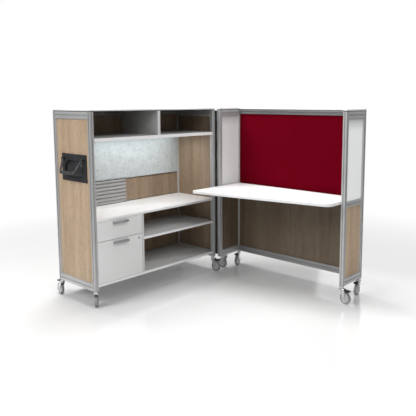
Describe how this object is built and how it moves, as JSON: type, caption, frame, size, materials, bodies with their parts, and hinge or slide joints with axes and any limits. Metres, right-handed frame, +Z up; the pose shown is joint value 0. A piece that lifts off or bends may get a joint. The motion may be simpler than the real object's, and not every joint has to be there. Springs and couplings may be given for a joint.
{
  "type": "folding cubicle workstation",
  "caption": "Mobile cubicle workstation: a storage half with shelves, drawers and pinboard, hinged to a desk half with a fixed desktop and a red pinboard.",
  "frame": {"origin": "on the floor, under the centre of the whole workstation with its halves opened at a right angle", "axes": "+Z up; the storage half faces -Y and runs along X on the -X side; the desk half faces -X and runs along Y on the +X side"},
  "size_m": [1.5844, 1.813, 1.386],
  "materials": {
    "aluminium_frame": "clear anodised, fine drawn lines along the bars",
    "white_laminate": "white laminate, low gloss",
    "white_board": "white melamine board, satin",
    "oak": "pale oak, straight grain, matt lacquer",
    "lamp_body": "grey powder coat",
    "lamp_lens": "opal diffuser",
    "grey_felt": "pale grey mottled felt",
    "red_fabric": "deep red woven cloth",
    "slat_metal": "satin anodised slats",
    "runner_steel": "zinc plated, rolled",
    "black_plastic": "black moulded, fine texture",
    "bail_metal": "black satin coat, worn on the grip",
    "hinge_black": "black satin coat",
    "pin_steel": "dark oiled steel",
    "lock_chrome": "polished",
    "tray_metal": "pale grey coat",
    "pull_metal": "pale grey coat",
    "frosted_sheet": "frosted acrylic",
    "arm_steel": "dark grey coat",
    "castor_chrome": "polished",
    "wheel_grey": "grey tread on a pale centre",
    "brake_black": "black moulded"
  },
  "bodies": {
    "storage": {"storage_frame": "aluminium_frame", "storage_top": "white_laminate", "outer_end_panel": "oak", "hinge_end_panel": "oak", "back_panel": "oak", "overhead_shelf": "white_board", "overhead_divider": "white_board", "task_light": "lamp_body", "light_lens": "lamp_lens", "storage_tackboard": "grey_felt", "slat_panel": "slat_metal", "credenza_top": "white_laminate", "pedestal_partition": "white_board", "middle_shelf": "white_board", "base_shelf": "white_board", "drawer_runners": "runner_steel", "pull_plate": "black_plastic", "hinge_leaf_storage": "hinge_black", "hinge_pin": "pin_steel"},
    "bail": {"bail_handle": "bail_metal"},
    "lock": {"lock_cylinder": "lock_chrome"},
    "box_drawer": {"box_drawer_tray": "tray_metal", "box_drawer_front": "white_board", "box_drawer_pull": "pull_metal"},
    "file_drawer": {"file_drawer_tray": "tray_metal", "file_drawer_front": "white_board", "file_drawer_pull": "pull_metal"},
    "desk_half": {"desk_frame": "aluminium_frame", "desk_cap": "white_laminate", "frosted_panels": "frosted_sheet", "desk_end_panels": "oak", "desk_back_panel": "oak", "red_tackboard": "red_fabric", "desktop": "white_laminate", "desk_arms": "arm_steel", "hinge_leaf_desk": "hinge_black"},
    "fork_storage_front_outer": {"fork_storage_front_outer": "castor_chrome"},
    "wheel_storage_front_outer": {"wheel_storage_front_outer": "wheel_grey"},
    "brake_storage_front_outer": {"brake_storage_front_outer": "brake_black"},
    "fork_storage_front_hinge": {"fork_storage_front_hinge": "castor_chrome"},
    "wheel_storage_front_hinge": {"wheel_storage_front_hinge": "wheel_grey"},
    "brake_storage_front_hinge": {"brake_storage_front_hinge": "brake_black"},
    "fork_storage_rear_outer": {"fork_storage_rear_outer": "castor_chrome"},
    "wheel_storage_rear_outer": {"wheel_storage_rear_outer": "wheel_grey"},
    "brake_storage_rear_outer": {"brake_storage_rear_outer": "brake_black"},
    "fork_storage_rear_hinge": {"fork_storage_rear_hinge": "castor_chrome"},
    "wheel_storage_rear_hinge": {"wheel_storage_rear_hinge": "wheel_grey"},
    "brake_storage_rear_hinge": {"brake_storage_rear_hinge": "brake_black"},
    "fork_desk_front_outer": {"fork_desk_front_outer": "castor_chrome"},
    "wheel_desk_front_outer": {"wheel_desk_front_outer": "wheel_grey"},
    "brake_desk_front_outer": {"brake_desk_front_outer": "brake_black"},
    "fork_desk_front_hinge": {"fork_desk_front_hinge": "castor_chrome"},
    "wheel_desk_front_hinge": {"wheel_desk_front_hinge": "wheel_grey"},
    "brake_desk_front_hinge": {"brake_desk_front_hinge": "brake_black"},
    "fork_desk_rear_outer": {"fork_desk_rear_outer": "castor_chrome"},
    "wheel_desk_rear_outer": {"wheel_desk_rear_outer": "wheel_grey"},
    "brake_desk_rear_outer": {"brake_desk_rear_outer": "brake_black"},
    "fork_desk_rear_hinge": {"fork_desk_rear_hinge": "castor_chrome"},
    "wheel_desk_rear_hinge": {"wheel_desk_rear_hinge": "wheel_grey"},
    "brake_desk_rear_hinge": {"brake_desk_rear_hinge": "brake_black"}
  },
  "joints": [
    {"name": "fold", "type": "hinge", "parent": "storage", "child": "desk_half", "pos_m": [0.5064, 0.38587, 0.75], "axis": [0, 0, 1], "range_deg": [-90, 90]},
    {"name": "box_drawer_slide", "type": "slide", "parent": "storage", "child": "box_drawer", "axis": [0, -1, 0], "range_m": [0, 0.33]},
    {"name": "file_drawer_slide", "type": "slide", "parent": "storage", "child": "file_drawer", "axis": [0, -1, 0], "range_m": [0, 0.33]},
    {"name": "bail_swing", "type": "hinge", "parent": "storage", "child": "bail", "pos_m": [-0.7354, 0.60185, 1.0399], "axis": [0, 1, 0], "range_deg": [-26, 63]},
    {"name": "lock_turn", "type": "hinge", "parent": "file_drawer", "child": "lock", "pos_m": [-0.3286, 0.39587, 0.4395], "axis": [0, 1, 0], "range_deg": [0, 90]},
    {"name": "swivel_storage_front_outer", "type": "hinge", "parent": "storage", "child": "fork_storage_front_outer", "pos_m": [-0.7086, 0.40487, 0.122], "axis": [0, 0, 1], "continuous": true},
    {"name": "roll_storage_front_outer", "type": "hinge", "parent": "fork_storage_front_outer", "child": "wheel_storage_front_outer", "pos_m": [-0.6861, 0.43168, 0.042], "axis": [-0.766, 0.6428, 0], "continuous": true},
    {"name": "brake_storage_front_outer", "type": "hinge", "parent": "fork_storage_front_outer", "child": "brake_storage_front_outer", "pos_m": [-0.69639, 0.41942, 0.096], "axis": [-0.766, 0.6428, 0], "range_deg": [0, 7]},
    {"name": "swivel_storage_front_hinge", "type": "hinge", "parent": "storage", "child": "fork_storage_front_hinge", "pos_m": [0.4814, 0.40487, 0.122], "axis": [0, 0, 1], "continuous": true},
    {"name": "roll_storage_front_hinge", "type": "hinge", "parent": "fork_storage_front_hinge", "child": "wheel_storage_front_hinge", "pos_m": [0.4814, 0.36987, 0.042], "axis": [1, 0, 0], "continuous": true},
    {"name": "brake_storage_front_hinge", "type": "hinge", "parent": "fork_storage_front_hinge", "child": "brake_storage_front_hinge", "pos_m": [0.4814, 0.38587, 0.096], "axis": [1, 0, 0], "range_deg": [0, 7]},
    {"name": "swivel_storage_rear_outer", "type": "hinge", "parent": "storage", "child": "fork_storage_rear_outer", "pos_m": [-0.7086, 0.82987, 0.122], "axis": [0, 0, 1], "continuous": true},
    {"name": "roll_storage_rear_outer", "type": "hinge", "parent": "fork_storage_rear_outer", "child": "wheel_storage_rear_outer", "pos_m": [-0.70252, 0.86434, 0.042], "axis": [-0.9848, 0.1736, 0], "continuous": true},
    {"name": "brake_storage_rear_outer", "type": "hinge", "parent": "fork_storage_rear_outer", "child": "brake_storage_rear_outer", "pos_m": [-0.7053, 0.84858, 0.096], "axis": [-0.9848, 0.1736, 0], "range_deg": [0, 7]},
    {"name": "swivel_storage_rear_hinge", "type": "hinge", "parent": "storage", "child": "fork_storage_rear_hinge", "pos_m": [0.4814, 0.82987, 0.122], "axis": [0, 0, 1], "continuous": true},
    {"name": "roll_storage_rear_hinge", "type": "hinge", "parent": "fork_storage_rear_hinge", "child": "wheel_storage_rear_hinge", "pos_m": [0.4814, 0.86487, 0.042], "axis": [-1, 0, 0], "continuous": true},
    {"name": "brake_storage_rear_hinge", "type": "hinge", "parent": "fork_storage_rear_hinge", "child": "brake_storage_rear_hinge", "pos_m": [0.4814, 0.84887, 0.096], "axis": [-1, 0, 0], "range_deg": [0, 7]},
    {"name": "swivel_desk_front_outer", "type": "hinge", "parent": "desk_half", "child": "fork_desk_front_outer", "pos_m": [0.5254, -0.82913, 0.122], "axis": [0, 0, 1], "continuous": true},
    {"name": "roll_desk_front_outer", "type": "hinge", "parent": "fork_desk_front_outer", "child": "wheel_desk_front_outer", "pos_m": [0.51932, -0.8636, 0.042], "axis": [0.9848, -0.1736, 0], "continuous": true},
    {"name": "brake_desk_front_outer", "type": "hinge", "parent": "fork_desk_front_outer", "child": "brake_desk_front_outer", "pos_m": [0.5221, -0.84784, 0.096], "axis": [0.9848, -0.1736, 0], "range_deg": [0, 7]},
    {"name": "swivel_desk_front_hinge", "type": "hinge", "parent": "desk_half", "child": "fork_desk_front_hinge", "pos_m": [0.5964, 0.36087, 0.122], "axis": [0, 0, 1], "continuous": true},
    {"name": "roll_desk_front_hinge", "type": "hinge", "parent": "fork_desk_front_hinge", "child": "wheel_desk_front_hinge", "pos_m": [0.5964, 0.39587, 0.042], "axis": [-1, 0, 0], "continuous": true},
    {"name": "brake_desk_front_hinge", "type": "hinge", "parent": "fork_desk_front_hinge", "child": "brake_desk_front_hinge", "pos_m": [0.5964, 0.37987, 0.096], "axis": [-1, 0, 0], "range_deg": [0, 7]},
    {"name": "swivel_desk_rear_outer", "type": "hinge", "parent": "desk_half", "child": "fork_desk_rear_outer", "pos_m": [0.7754, -0.82913, 0.122], "axis": [0, 0, 1], "continuous": true},
    {"name": "roll_desk_rear_outer", "type": "hinge", "parent": "fork_desk_rear_outer", "child": "wheel_desk_rear_outer", "pos_m": [0.74074, -0.834, 0.042], "axis": [0.1392, -0.9903, 0], "continuous": true},
    {"name": "brake_desk_rear_outer", "type": "hinge", "parent": "fork_desk_rear_outer", "child": "brake_desk_rear_outer", "pos_m": [0.75658, -0.83177, 0.096], "axis": [0.1392, -0.9903, 0], "range_deg": [0, 7]},
    {"name": "swivel_desk_rear_hinge", "type": "hinge", "parent": "desk_half", "child": "fork_desk_rear_hinge", "pos_m": [0.7754, 0.36087, 0.122], "axis": [0, 0, 1], "continuous": true},
    {"name": "roll_desk_rear_hinge", "type": "hinge", "parent": "fork_desk_rear_hinge", "child": "wheel_desk_rear_hinge", "pos_m": [0.74176, 0.35122, 0.042], "axis": [0.2756, -0.9613, 0], "continuous": true},
    {"name": "brake_desk_rear_hinge", "type": "hinge", "parent": "fork_desk_rear_hinge", "child": "brake_desk_rear_hinge", "pos_m": [0.75714, 0.35563, 0.096], "axis": [0.2756, -0.9613, 0], "range_deg": [0, 7]}
  ]
}
